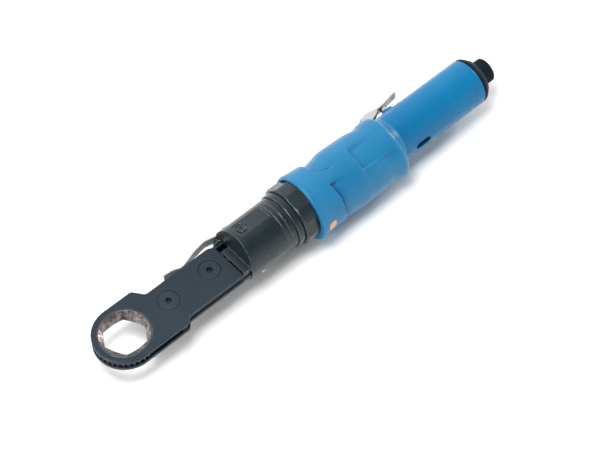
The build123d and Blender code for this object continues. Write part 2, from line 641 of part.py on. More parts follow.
def ring_gear():
    """Internal gear pressed in the case."""
    pitch_r = RING_TEETH * GEAR_MODULE / 2
    space = gear_face(RING_TEETH, pitch_r - ADDENDUM, pitch_r + DEDENDUM, -BACKLASH)
    turn = Rot(180 / RING_TEETH * (1 - PLANET_TEETH % 2), 0, 0)
    cut = turn * gear_solid(space, GEAR_X[0] - 2, GEAR_X[1] + 2)
    return rod(GEAR_X[0] - 0.5, GEAR_X[1] + 0.5, CASE_BORE_R) - cut


def crankshaft():
    """Planet carrier, shaft and eccentric crank pin in one piece."""
    body = rod(CRANK_PIN_X, CRANK_WEB[1], CRANK_PIN_R, y=CRANK_THROW)
    body += rod(*CRANK_WEB) + rod(CRANK_WEB[1] - 0.3, CARRIER_X[0], CRANK_SHAFT_R)
    body += rod(*CARRIER_X, CARRIER_R)
    for index in range(PLANET_COUNT):
        y, z = planet_centre(index)
        body -= rod(CARRIER_X[0] + 0.5, GEAR_X[0], PLANET_PIN_R, y, z)
    return body


def crank_bush():
    """Loose roller on the crank pin, inside the rocker's fork."""
    start = CRANK_PIN_X + 0.1
    return pipe(start, start + CRANK_BUSH_LONG, CRANK_BUSH_R, CRANK_PIN_R + FIT, y=CRANK_THROW)


def planet_pins():
    """Three pins pressed in the carrier."""
    return Compound(children=[rod(CARRIER_X[0] + 0.5, GEAR_X[1], PLANET_PIN_R, *planet_centre(index))
                              for index in range(PLANET_COUNT)])


def needle_bearing():
    """Drawn-cup needle bearing for the crankshaft: a cup and its rollers."""
    circle = CRANK_SHAFT_R + FIT + NEEDLE_R
    low, high = NEEDLE_CUP_X
    cup = pipe(low, high, SHANK_BORE_R, circle + NEEDLE_R + 0.03)
    angles = [2 * pi * k / NEEDLE_COUNT for k in range(NEEDLE_COUNT)]
    needles = [rod(low + 1, high - 1, NEEDLE_R, circle * cos(a), circle * sin(a)) for a in angles]
    return Compound(children=[cup] + needles)


# ================================================================ motor
def ball_bearing(start):
    """Two races and the balls between them."""
    end = start + BEARING_WIDE
    middle = (start + end) / 2
    wall = (BEARING_R - BEARING_BORE_R) * 0.28
    ball_r = (BEARING_R - BEARING_BORE_R) * 0.27
    circle = (BEARING_R + BEARING_BORE_R) / 2
    groove = o_ring(middle, circle, ball_r + 0.04)
    races = [pipe(start, end, BEARING_R, BEARING_R - wall) - groove,
             pipe(start, end, BEARING_BORE_R + wall, BEARING_BORE_R) - groove]
    angles = [2 * pi * k / BALL_COUNT for k in range(BALL_COUNT)]
    balls = [Pos(middle, circle * cos(a), circle * sin(a)) * Sphere(ball_r) for a in angles]
    return Compound(children=races + balls)


def motor_housing():
    """Steel barrel that holds the motor, threaded to the nut and to the handle tube."""
    body = pipe(*MOTOR_X, MOTOR_R, MOTOR_BORE_R)
    half = LEVER_WIDE / 2 + 0.8
    return body - block((LEVER_SLOT_X, MOTOR_X[1] + 1), (10, REACH), (-half, half))


def end_plate(start, end, bearing_start):
    """Disc that closes the liner and holds one rotor bearing."""
    body = pipe(start, end, MOTOR_BORE_R - 0.02, 5.2)
    return body - rod(bearing_start, bearing_start + BEARING_WIDE, BEARING_R)


def motor_cylinder():
    """Liner with an eccentric bore, an inlet row and an exhaust row."""
    body = rod(ROTOR_X[0] - 0.3, ROTOR_X[1] + 0.3, MOTOR_BORE_R - 0.02)
    body -= rod(ROTOR_X[0] - 1, ROTOR_X[1] + 1, LINER_BORE_R, z=LINER_OFFSET)
    first, spacing, count = AIR_HOLES
    for step in range(count):
        x = first + spacing * step
        body -= stud(x, -MOTOR_BORE_R - 1, -9, 1.6, z=-2) + stud(x, 9, MOTOR_BORE_R + 1, 1.2, z=-2)
    return body


def rotor():
    """Slotted rotor with its shaft."""
    body = rod(*ROTOR_X, ROTOR_R)
    slot = block((ROTOR_X[0] - 1, ROTOR_X[1] + 1), (-VANE_THICK / 2 - 0.05, VANE_THICK / 2 + 0.05),
                 (ROTOR_R - VANE_DEEP - 0.3, ROTOR_R + 1))
    for index in range(VANE_COUNT):
        body -= Rot(360 / VANE_COUNT * index, 0, 0) * slot
    return body + rod(GEAR_X[0], ROTOR_X[0], SUN_BORE_R) + rod(*SHAFT_X, SHAFT_R)


def rotor_vanes():
    """Flat vanes at the bottom of the rotor's slots."""
    vane = block((ROTOR_X[0] + 0.1, ROTOR_X[1] - 0.1), (-VANE_THICK / 2, VANE_THICK / 2),
                 (ROTOR_R - VANE_DEEP, ROTOR_R))
    return Compound(children=[Rot(360 / VANE_COUNT * k, 0, 0) * vane for k in range(VANE_COUNT)])


# ================================================================ nut and sleeve
def lock_ring():
    """Narrow ring between the case and the nut."""
    front, end = LOCK_RING_X
    return turned([(front, SPIGOT_R + SLACK), (front, LOCK_RING_R - 0.5), (front + 0.5, LOCK_RING_R),
                   (end - 0.5, LOCK_RING_R), (end, LOCK_RING_R - 0.5), (end, SPIGOT_R + SLACK)])


def coupling_nut():
    """Ring nut with six shallow spanner flats that draws the case onto the barrel."""
    front, end = NUT_X
    step = end - NUT_STEP
    body = turned([(front, SPIGOT_R + SLACK), (front, NUT_R - 1.0), (front + 1.0, NUT_R), (step, NUT_R),
                   (step, MOTOR_R + NUT_LIP), (end, MOTOR_R + NUT_LIP), (end, MOTOR_R + SLACK),
                   (MOTOR_X[0] - 0.5, MOTOR_R + SLACK), (MOTOR_X[0] - 0.5, SPIGOT_R + SLACK)])
    flat = block((front - 1, step), (-12, 12), (NUT_R - NUT_FLAT_DEEP, NUT_R + 5))
    for index in range(6):
        body -= Rot(60 * index + NUT_FLAT_TURN, 0, 0) * flat
    return body


def grip_section(x, lever_side, palm_side, half_high):
    """An oval across X, made of two half ellipses that meet on the Z axis."""
    place = Plane(origin=(x, 0, 0), x_dir=(0, 1, 0), z_dir=(1, 0, 0))
    with BuildSketch(place) as oval:
        with BuildLine():
            EllipticalCenterArc((0, 0), lever_side, half_high, start_angle=-90, arc_size=180)
            EllipticalCenterArc((0, 0), palm_side, half_high, start_angle=90, arc_size=180)
        make_face()
    return oval.sketch


def grip_sleeve():
    """Moulded grip round the motor, open behind for the lever's cheeks."""
    body = loft([grip_section(*section) for section in GRIP_SECTIONS], ruled=True)
    body -= rod(SLEEVE_X[0] - 1, NUT_X[1] + 0.4, SLEEVE_MOUTH_R)
    body -= rod(SLEEVE_X[0] - 1, MOTOR_X[1] + 0.1, SLEEVE_BORE_R)
    body -= rod(SLEEVE_X[0] - 1, SLEEVE_X[1] + 1, TUBE_R + SLACK)
    half = LEVER_WIDE / 2 + 1
    return body - block((SLEEVE_SLOT_X, SLEEVE_X[1] + 1), (10.0, 40.0), (-half, half))


# ================================================================ handle
def lever_lug():
    """Single lug of the handle tube between the lever's two cheeks."""
    x, y = LEVER_PIN
    half = LEVER_WIDE / 2 - LEVER_THICK - 0.2
    lug = block((x - LUG_HALF, x + LUG_HALF), (TUBE_R - 1.5, y), (-half, half))
    return lug + post(LEVER_PIN, -half, half, 2.5)


def handle_tube():
    """Blue tube with a collar screwed into the barrel, a valve boss and an exhaust port."""
    body = pipe(*TUBE_X, TUBE_R, TUBE_BORE_R)
    body += pipe(TUBE_X[0] - TUBE_COLLAR, TUBE_X[0] + 0.1, MOTOR_BORE_R - 0.1, TUBE_BORE_R)
    body += lever_lug()
    body += stud(VALVE_X, 15.0, BOSS_TOP, BOSS_R) - rod(*TUBE_X, TUBE_BORE_R)
    body -= stud(VALVE_X, 8, REACH, BOSS_BORE_R)
    body -= post(LEVER_PIN, -LEVER_WIDE, LEVER_WIDE, LEVER_PIN_R)
    port = Plane(origin=(PORT_AT[0], 0, PORT_AT[1]), x_dir=(1, 0, 0), z_dir=(0, -1, 0))
    body -= extrude(port * SlotOverall(PORT_LONG, PORT_HIGH), REACH)
    rim = body.edges().filter_by(GeomType.CIRCLE).group_by(Axis.X)[-1].sort_by(SortBy.RADIUS)[-1]
    return fillet(rim, TUBE_REAR_ROUND)


def throttle_lever():
    """Pressed-steel lever: a bent strip with two cheeks that hold the pin."""
    x, y = LEVER_PIN
    half = LEVER_WIDE / 2
    path = FilletPolyline(*[(x + dx, y + dy) for dx, dy in LEVER_ROUTE], radius=LEVER_BEND_R)
    body = slab(trace(path, line_width=LEVER_THICK), -half, half)
    cheek = slab(outline([(x + dx, y + dy) for dx, dy in LEVER_CHEEK]), -half, half)
    cheek += post(LEVER_PIN, -half, half, LEVER_EYE_R)
    cheek -= block((x - 20, x + 20), (0, y + 20), (-half + LEVER_THICK, half - LEVER_THICK))
    return body + cheek - post(LEVER_PIN, -LEVER_WIDE, LEVER_WIDE, LEVER_PIN_R + FIT)


def lever_pin():
    """Pin through the lug and both cheeks of the lever."""
    half = LEVER_WIDE / 2 + 0.5
    return chamfer(post(LEVER_PIN, -half, half, LEVER_PIN_R).edges(), 0.25)


def valve_body():
    """Block inside the handle tube with the air passage and the valve's cross bore."""
    low, high = VALVE_BODY_X
    body = rod(low, high, VALVE_BODY_R) + stud(VALVE_X, 0, 12.0, 5.4)
    body -= rod(low - 1, VALVE_X - 4.3, AIR_BORE_R) + rod(VALVE_X + 5.5, high + 1, AIR_BORE_R)
    body -= rod(VALVE_X - 6.5, VALVE_X - 3.5, AIR_HOLE_R) + rod(VALVE_X + 1.5, VALVE_X + 6.5, AIR_HOLE_R)
    body -= stud(VALVE_X, SPRING_FOOT - 1, 14.0, POPPET_BORE_R)
    return body - stud(VALVE_X, 8.9, 14.0, BOSS_BORE_R)


def valve_bushing():
    """Threaded guide for the valve stem."""
    body = stud(VALVE_X, 9.0, BOSS_TOP - 0.2, BOSS_BORE_R - SLACK)
    body += stud(VALVE_X, 4.0, 9.1, POPPET_BORE_R - SLACK)
    return body - stud(VALVE_X, 3, 20, STEM_R + FIT)


def valve_stem():
    """Button, stem and poppet in one piece."""
    body = stud(VALVE_X, BUTTON_TOP - BUTTON_HIGH, BUTTON_TOP, BUTTON_R)
    body = fillet(body.edges().group_by(Axis.Y)[-1], 0.9)
    body += stud(VALVE_X, 1.5, BUTTON_TOP - BUTTON_HIGH + 0.1, STEM_R)
    return body + stud(VALVE_X, 1.4, 3.9, POPPET_R)


def valve_spring():
    """Coil spring under the poppet."""
    coil = Helix(pitch=SPRING_PITCH, height=SPRING_HIGH, radius=SPRING_R)
    wire = sweep(Plane(origin=coil @ 0, z_dir=coil % 0) * Circle(SPRING_WIRE_R), path=coil, is_frenet=True)
    place = Plane(origin=(VALVE_X, SPRING_FOOT, 0), x_dir=(1, 0, 0), z_dir=(0, 1, 0))
    return place * wire


def air_tube():
    """Pipe from the inlet to the valve."""
    return pipe(*AIR_TUBE_X, AIR_TUBE_R, AIR_TUBE_BORE_R)


def exhaust_silencer():
    """Felt sleeve round the air pipe that quietens the exhaust."""
    return pipe(AIR_TUBE_X[0] + 1.9, CAP_X[0] - CAP_SPIGOT - 0.4, TUBE_BORE_R - 0.1, AIR_TUBE_R + 0.2)


def end_cap():
    """Black end cap, rounded towards its rear face."""
    start, end = CAP_X
    bore = INLET_FOOT_R + SLACK
    body = turned([(start, bore), (start, CAP_R), (start + 2.2, CAP_R), (end, CAP_R - 3.4), (end, bore)])
    body = fillet(body.edges().filter_by(GeomType.CIRCLE).group_by(Axis.X)[-2], CAP_ROUND)
    body += pipe(start - CAP_SPIGOT, start + 0.1, TUBE_BORE_R - 0.02, CAP_SPIGOT_BORE_R)
    return body - pipe(CAP_O_RING_X - 0.8, CAP_O_RING_X + 0.8, TUBE_BORE_R + 1, CAP_O_RING_R - 0.7)


def inlet_bushing():
    """Inlet boss with six rounded flats and a quarter-inch pipe thread at its minor diameter."""
    foot = INLET_END - 1.0 - INLET_DEPTH
    body = turned([(foot, INLET_THREAD_R), (foot, INLET_FOOT_R), (CAP_X[1] + 0.1, INLET_FOOT_R),
                   (CAP_X[1] + 0.1, INLET_R - 0.6), (CAP_X[1] + 1.4, INLET_R),
                   (INLET_END - 1.2, INLET_R), (INLET_END, INLET_R - 1.0),
                   (INLET_END, INLET_THREAD_R + 1.0), (INLET_END - 1.0, INLET_THREAD_R)])
    across = RegularPolygon(INLET_AF / 2, 6, major_radius=False)
    place = Plane(origin=(CAP_X[1] + 1.0, 0, 0), x_dir=(0, 1, 0), z_dir=(1, 0, 0))
    sleeve = pipe(CAP_X[1] + 1.0, INLET_END + 1, INLET_R + 3, 1.0)
    return body - (sleeve - extrude(place * across, INLET_END))


def inlet_strainer():
    """Cup-shaped strainer at the mouth of the air pipe."""
    end, outer = AIR_TUBE_X[1] - 0.1, AIR_TUBE_BORE_R - 0.1
    return pipe(end - 5.9, end, outer, outer - 0.6) + rod(end - 6.5, end - 5.8, outer)


def o_ring(x, circle, section):
    """A round ring about X."""
    place = Plane(origin=(x, 0, 0), x_dir=(0, 1, 0), z_dir=(1, 0, 0))
    return place * Torus(circle, section)


def main():
    keep("top_plate", head_plate(1))
    keep("bottom_plate", head_plate(-1))
    keep("head_frame", head_frame())
    keep("ratchet_ring", ratchet_ring())
    keep("head_screws", head_screws())
    keep("head_nuts", head_nuts())
    keep("pivot_bushes", pivot_bushes())
    keep("holding_pawl", holding_pawl())
    keep("drive_rocker", drive_rocker() + rocker_boss())
    keep("drive_pawl_pin", drive_pawl_pin())
    keep("drive_pawl", drive_pawl())
    keep("leaf_spring", leaf_spring())
    keep("leaf_screw", leaf_screw())
    keep("gear_case", gear_case() - grease_space())
    keep("case_screw", case_screw())
    keep("grease_fitting", grease_fitting())
    keep("crankshaft", crankshaft())
    keep("crank_bush", crank_bush())
    keep("needle_bearing", needle_bearing())
    keep("planet_pins", planet_pins())
    for index in range(PLANET_COUNT):
        keep(f"planet_gear_{index + 1}", planet_gear(index))
    keep("sun_gear", sun_gear())
    keep("ring_gear", ring_gear())
    keep("lock_ring", lock_ring())
    keep("coupling_nut", coupling_nut())
    keep("motor_housing", motor_housing())
    keep("front_end_plate", end_plate(*FRONT_PLATE_X, FRONT_BEARING_X))
    keep("rear_end_plate", end_plate(*REAR_PLATE_X, REAR_BEARING_X))
    keep("front_rotor_bearing", ball_bearing(FRONT_BEARING_X))
    keep("rear_rotor_bearing", ball_bearing(REAR_BEARING_X))
    keep("motor_cylinder", motor_cylinder())
    keep("rotor", rotor())
    keep("rotor_vanes", rotor_vanes())
    keep("grip_sleeve", grip_sleeve())
    keep("handle_tube", handle_tube())
    keep("throttle_lever", throttle_lever())
    keep("lever_pin", lever_pin())
    keep("valve_body", valve_body())
    keep("valve_bushing", valve_bushing())
    keep("valve_stem", valve_stem())
    keep("valve_spring", valve_spring())
    keep("air_tube", air_tube())
    keep("exhaust_silencer", exhaust_silencer())
    keep("end_cap", end_cap())
    keep("inlet_bushing", inlet_bushing())
    keep("inlet_strainer", inlet_strainer())
    keep("cap_o_ring", o_ring(CAP_O_RING_X, CAP_O_RING_R, 0.65))
    os.makedirs("parts", exist_ok=True)
    for name, shape in NODES.items():
        export_step(shape, f"parts/{name}.step")


main()
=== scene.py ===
import json
import math

import bmesh
import bpy
from mathutils import Matrix, Vector


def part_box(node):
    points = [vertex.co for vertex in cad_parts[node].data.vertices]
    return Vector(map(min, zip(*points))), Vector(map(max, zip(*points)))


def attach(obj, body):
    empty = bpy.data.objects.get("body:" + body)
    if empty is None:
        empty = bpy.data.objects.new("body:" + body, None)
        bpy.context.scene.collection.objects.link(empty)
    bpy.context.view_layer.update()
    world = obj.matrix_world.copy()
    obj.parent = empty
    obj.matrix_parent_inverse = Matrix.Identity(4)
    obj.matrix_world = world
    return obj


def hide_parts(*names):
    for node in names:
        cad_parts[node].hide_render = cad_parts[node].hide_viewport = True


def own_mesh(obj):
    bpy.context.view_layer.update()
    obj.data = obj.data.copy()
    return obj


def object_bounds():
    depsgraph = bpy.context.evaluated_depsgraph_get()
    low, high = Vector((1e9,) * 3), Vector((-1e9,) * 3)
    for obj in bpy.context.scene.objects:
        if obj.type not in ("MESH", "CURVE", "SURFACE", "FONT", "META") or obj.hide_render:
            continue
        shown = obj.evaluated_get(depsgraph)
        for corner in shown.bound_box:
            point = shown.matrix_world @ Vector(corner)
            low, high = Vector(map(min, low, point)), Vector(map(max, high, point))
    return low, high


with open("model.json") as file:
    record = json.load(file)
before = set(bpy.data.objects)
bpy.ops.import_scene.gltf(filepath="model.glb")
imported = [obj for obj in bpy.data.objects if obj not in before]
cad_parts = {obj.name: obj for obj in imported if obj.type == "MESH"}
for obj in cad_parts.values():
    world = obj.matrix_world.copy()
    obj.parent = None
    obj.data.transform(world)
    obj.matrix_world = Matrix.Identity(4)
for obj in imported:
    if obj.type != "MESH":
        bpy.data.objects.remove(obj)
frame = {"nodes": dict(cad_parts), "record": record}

# Looks of a straight closed-end air ratchet. Metres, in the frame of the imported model:
# +X runs from the hex ring to the air inlet, +Z is up and the lever is on the +Y side.

MM = 0.001
CAD_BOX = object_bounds()

# ---------------------------------------------------------------- camera, floor and light
CAMERA_AZIMUTH = -40.186      # degrees, 0 looks along +Y
CAMERA_ELEVATION = 55.465
CAMERA_ROLL = -1.936
CAMERA_DISTANCE = 1.4
CAMERA_AIM = (0.139192, -0.010668, 0.0)
SENSOR_WIDTH = 36
CAMERA_LENS = 128.074
CAMERA_CLIP = (0.05, 20)

# Each soft box: its name, direction from the tool, distance, size and power.
LIGHTS = (("key", (-0.25, -0.03, 1.0), 1.3, 0.5, 13.5),
          ("front", (-1.0, -0.1, 0.45), 1.2, 0.5, 7),
          ("rear", (0.94, 0.0, 0.34), 1.2, 0.25, 5))
SKY_RAMP = ((0.25, 1.0), (0.80, 0.06))   # how far a direction points to the camera, and its grey
SKY_STRENGTH = 1.4
FLOOR_HALF = 3.0
FLOOR_GAP = 0.0002            # between the floor and the tool's lowest point


def camera_axes():
    """Right, up and back vectors of the camera."""
    azimuth, elevation = math.radians(CAMERA_AZIMUTH), math.radians(CAMERA_ELEVATION)
    back = Vector((math.sin(azimuth) * math.cos(elevation),
                   -math.cos(azimuth) * math.cos(elevation), math.sin(elevation)))
    right = Vector((math.cos(azimuth), math.sin(azimuth), 0))
    up = back.cross(right)
    roll = math.radians(CAMERA_ROLL)
    turned = right * math.cos(roll) + up * math.sin(roll)
    return turned, back.cross(turned), back


RIGHT, UP, BACK = camera_axes()


def make_camera():
    data = bpy.data.cameras.new("camera")
    data.sensor_width = SENSOR_WIDTH
    data.lens = CAMERA_LENS
    data.clip_start, data.clip_end = CAMERA_CLIP
    camera = bpy.data.objects.new("camera", data)
    turn = Matrix((RIGHT, UP, BACK)).transposed().to_4x4()
    camera.matrix_world = Matrix.Translation(Vector(CAMERA_AIM) + BACK * CAMERA_DISTANCE) @ turn
    bpy.context.scene.collection.objects.link(camera)
    bpy.context.scene.camera = camera


def area_light(name, direction, distance, size, power):
    """A square soft box that faces the middle of the tool."""
    data = bpy.data.lights.new(name, "AREA")
    data.shape, data.size, data.energy = "SQUARE", size, power
    light = bpy.data.objects.new(name, data)
    middle = (CAD_BOX[0] + CAD_BOX[1]) / 2
    direction = Vector(direction).normalized()
    light.location = middle + direction * distance
    light.rotation_mode = "QUATERNION"
    light.rotation_quaternion = direction.to_track_quat("Z", "Y")
    bpy.context.scene.collection.objects.link(light)


def make_world():
    """A white sky that darkens towards the fixed direction of the camera."""
    world = bpy.data.worlds.new("studio")
    world.use_nodes = True
    tree = world.node_tree
    background = tree.nodes["Background"]
    direction = tree.nodes.new("ShaderNodeTexCoord").outputs["Generated"]
    facing = tree.nodes.new("ShaderNodeVectorMath")
    facing.operation = "DOT_PRODUCT"
    facing.inputs[1].default_value = BACK
    tree.links.new(direction, facing.inputs[0])
    shade = tree.nodes.new("ShaderNodeValToRGB")
    for element, (position, grey) in zip(shade.color_ramp.elements, SKY_RAMP):
        element.position, element.color = position, (grey, grey, grey, 1)
    tree.links.new(facing.outputs["Value"], shade.inputs["Fac"])
    tree.links.new(shade.outputs["Color"], background.inputs["Color"])
    background.inputs["Strength"].default_value = SKY_STRENGTH
    bpy.context.scene.world = world


def make_floor():
    """Large pale floor just under the lowest point of the tool."""
    half, level = FLOOR_HALF, CAD_BOX[0].z - FLOOR_GAP
    corners = [(x * half, y * half, level) for x, y in ((-1, -1), (1, -1), (1, 1), (-1, 1))]
    floor = mesh_object("floor", corners, [(0, 1, 2, 3)])
    mat, tree, shader = blank_material("floor")
    grain = noise(tree, 40, 3)
    tree.links.new(ramp(tree, grain, [(0.3, (0.90, 0.90, 0.90)), (0.7, (0.92, 0.92, 0.92))]),
                   shader.inputs["Base Color"])
    shader.inputs["Roughness"].default_value = 0.9
    shader.inputs["Specular IOR Level"].default_value = 0.1
    floor.data.materials.append(mat)


# ---------------------------------------------------------------- meshes
def mesh_object(name, points, faces, sharp_angle=None):
    """A mesh object from points in metres, smooth except at edges sharper than the angle."""
    mesh = bpy.data.meshes.new(name)
    mesh.from_pydata(points, [], faces)
    mesh.validate()
    if sharp_angle is not None:
        mesh.shade_smooth()
        mesh.set_sharp_from_angle(angle=math.radians(sharp_angle))
    obj = bpy.data.objects.new(name, mesh)
    bpy.context.scene.collection.objects.link(obj)
    return obj


def wall_faces(rings, around, closed=False):
    """Quads from each ring of points to the next, and from the last to the first if closed."""
    faces = []
    for i in range(rings if closed else rings - 1):
        j = (i + 1) % rings
        for k in range(around):
            n = (k + 1) % around
            faces.append((i * around + k, i * around + n, j * around + n, j * around + k))
    return faces


def blend(value, low, high):
    """0 below low, 1 above high, and a smooth rise between them."""
    share = min(1.0, max(0.0, (value - low) / (high - low)))
    return share * share * (3 - 2 * share)


def through(stations, x):
    """A smooth row of values at x, from rows of (x, values...)."""
    index = max(i for i in range(len(stations) - 1) if i == 0 or stations[i][0] <= x)
    before, here = stations[max(index - 1, 0)], stations[index]
    there, after = stations[index + 1], stations[min(index + 2, len(stations) - 1)]
    share = min(1.0, max(0.0, (x - here[0]) / (there[0] - here[0])))
    span = there[0] - here[0]
    row = []
    for k in range(1, len(here)):
        start = (there[k] - before[k]) / (there[0] - before[0]) * span
        end = (after[k] - here[k]) / (after[0] - here[0]) * span
        row.append((2 * share**3 - 3 * share**2 + 1) * here[k]
                   + (share**3 - 2 * share**2 + share) * start
                   + (3 * share**2 - 2 * share**3) * there[k] + (share**3 - share**2) * end)
    return row


# ---------------------------------------------------------------- materials
EDGE_FULL = 0.83              # likeness of the rounded and true normals on a full edge
EDGE_NONE = 0.995             # and where the edge has faded out
METAL_BUMP = 0.00006          # full depth of the grain, in metres
MOULDED_BUMP = 0.00008
RING_BUMP = 0.0001
MOULDED_EDGE = 0.0005         # radius of a moulded edge, in metres


def blank_material(name):
    mat = bpy.data.materials.new(name)
    mat.use_nodes = True
    return mat, mat.node_tree, mat.node_tree.nodes["Principled BSDF"]


def noise(tree, scale, detail, stretch=(1, 1, 1), roughness=0.55):
    """Noise in the tool's own coordinates. Scale is in waves per metre."""
    place = tree.nodes.new("ShaderNodeMapping")
    place.inputs["Scale"].default_value = stretch
    tree.links.new(tree.nodes.new("ShaderNodeTexCoord").outputs["Object"], place.inputs["Vector"])
    node = tree.nodes.new("ShaderNodeTexNoise")
    node.inputs["Scale"].default_value = scale
    node.inputs["Detail"].default_value = detail
    node.inputs["Roughness"].default_value = roughness
    tree.links.new(place.outputs["Vector"], node.inputs["Vector"])
    return node.outputs["Fac"]


def ramp(tree, value, stops):
    """Colours, or greys given as one number, along a value."""
    node = tree.nodes.new("ShaderNodeValToRGB")
    elements = node.color_ramp.elements
    while len(elements) < len(stops):
        elements.new(0.5)
    for element, (position, colour) in zip(elements, stops):
        colour = (colour,) * 3 if isinstance(colour, (int, float)) else colour
        element.position, element.color = position, (*colour, 1)
    tree.links.new(value, node.inputs["Fac"])
    return node.outputs["Color"]


def mix(tree, share, first, second, mode="MIX"):
    """Colour mix. Each input is a socket or a colour."""
    node = tree.nodes.new("ShaderNodeMix")
    node.data_type, node.blend_type = "RGBA", mode
    for socket, value in ((0, share), (6, first), (7, second)):
        if isinstance(value, bpy.types.NodeSocket):
            tree.links.new(value, node.inputs[socket])
        else:
            node.inputs[socket].default_value = value if socket == 0 else (*value, 1)
    return node.outputs[2]


def edge_mask(tree, radius):
    """1 on sharp outer and inner edges of the mesh, 0 on its faces, and the rounded normal."""
    bevel = tree.nodes.new("ShaderNodeBevel")
    bevel.samples = 6
    bevel.inputs["Radius"].default_value = radius
    alike = tree.nodes.new("ShaderNodeVectorMath")
    alike.operation = "DOT_PRODUCT"
    tree.links.new(bevel.outputs["Normal"], alike.inputs[0])
    tree.links.new(tree.nodes.new("ShaderNodeNewGeometry").outputs["Normal"], alike.inputs[1])
    mask = ramp(tree, alike.outputs["Value"], [(EDGE_FULL, 1.0), (EDGE_NONE, 0.0)])
    return mask, bevel.outputs["Normal"]


def add_bump(tree, shader, height, strength, distance, normal):
    """Bump from a height in 0 to 1 on a normal, where distance is its full depth in metres."""
    node = tree.nodes.new("ShaderNodeBump")
    node.inputs["Strength"].default_value = strength
    node.inputs["Distance"].default_value = distance
    tree.links.new(height, node.inputs["Height"])
    tree.links.new(normal, node.inputs["Normal"])
    tree.links.new(node.outputs["Normal"], shader.inputs["Normal"])


def metal(name, dark, light, rough, edge_colour, metallic=1.0, edge_share=0.6, grain=(1, 1, 1),
          grain_scale=900, bump=0.15, edge_radius=0.0004, patch_scale=45, specular=0.5):
    """Metal or metal finish with blotchy colour, fine grain and edges in the edge colour: paler edge
    colours paint wear and highlight on the edges, darker ones make the edges darker.
    """
    mat, tree, shader = blank_material(name)
    patches = noise(tree, patch_scale, 4)
    colour = ramp(tree, patches, [(0.32, dark), (0.68, light)])
    fine = noise(tree, grain_scale, 4, grain)
    edges, rounded = edge_mask(tree, edge_radius)
    broken = mix(tree, 1.0, edges, ramp(tree, noise(tree, 260, 3), [(0.3, 0.6), (0.6, 1.0)]), "MULTIPLY")
    share = mix(tree, 1.0, broken, (edge_share,) * 3, "MULTIPLY")
    # Edges, broken by noise, mixed towards the edge colour: painted highlight and wear where it is paler.
    tree.links.new(mix(tree, share, colour, edge_colour), shader.inputs["Base Color"])
    low, high = rough
    tree.links.new(ramp(tree, fine, [(0.3, low), (0.7, high)]), shader.inputs["Roughness"])
    shader.inputs["Metallic"].default_value = metallic
    shader.inputs["Specular IOR Level"].default_value = specular
    add_bump(tree, shader, fine, bump, METAL_BUMP, rounded)
    return mat


def moulded(name, dark, light, rough, texture_scale=1500, bump=0.25, edge_colour=None,
            specular=0.35, crease_shade=None):
    """Coloured plastic or paint with a fine surface texture and faint dark specks. An edge colour paints
    its edges paler, as rubbed wear and painted highlight; a crease colour darkens its creases as painted
    shade.
    """
    mat, tree, shader = blank_material(name)
    colour = ramp(tree, noise(tree, 30, 5), [(0.35, dark), (0.65, light)])
    specks = ramp(tree, noise(tree, 420, 2), [(0.26, 0.86), (0.34, 1.0)])
    colour = mix(tree, 1.0, colour, specks, "MULTIPLY")
    # Painted shade: concave creases (low pointiness) take the darker crease colour.
    if crease_shade is not None:
        shape = tree.nodes.new("ShaderNodeNewGeometry").outputs["Pointiness"]
        colour = mix(tree, ramp(tree, shape, [(0.47, 1.0), (0.497, 0.0)]), colour, crease_shade)
    shader.inputs["Specular IOR Level"].default_value = specular
    edges, rounded = edge_mask(tree, MOULDED_EDGE)
    # Edges painted paler: partly rubbed wear, partly painted highlight.
    if edge_colour is not None:
        share = mix(tree, 1.0, edges, (0.45,) * 3, "MULTIPLY")
        colour = mix(tree, share, colour, edge_colour)
    tree.links.new(colour, shader.inputs["Base Color"])
    fine = noise(tree, texture_scale, 3)
    wear = noise(tree, 55, 4)
    low, high = rough
    tree.links.new(ramp(tree, wear, [(0.3, low), (0.7, high)]), shader.inputs["Roughness"])
    add_bump(tree, shader, fine, bump, MOULDED_BUMP, rounded)
    return mat


def distance_from_axis(tree):
    """Distance in metres from the hex ring's own axis."""
    flat = tree.nodes.new("ShaderNodeVectorMath")
    flat.operation = "MULTIPLY"
    flat.inputs[1].default_value = (1, 1, 0)
    length = tree.nodes.new("ShaderNodeVectorMath")
    length.operation = "LENGTH"
    tree.links.new(tree.nodes.new("ShaderNodeTexCoord").outputs["Object"], flat.inputs[0])
    tree.links.new(flat.outputs["Vector"], length.inputs[0])
    return length.outputs["Value"]


def rising(tree, value, low, high):
    """0 to 1 as a value goes from low to high."""
    node = tree.nodes.new("ShaderNodeMapRange")
    node.interpolation_type = "SMOOTHSTEP"
    node.inputs["From Min"].default_value, node.inputs["From Max"].default_value = low, high
    tree.links.new(value, node.inputs["Value"])
    return node.outputs["Result"]


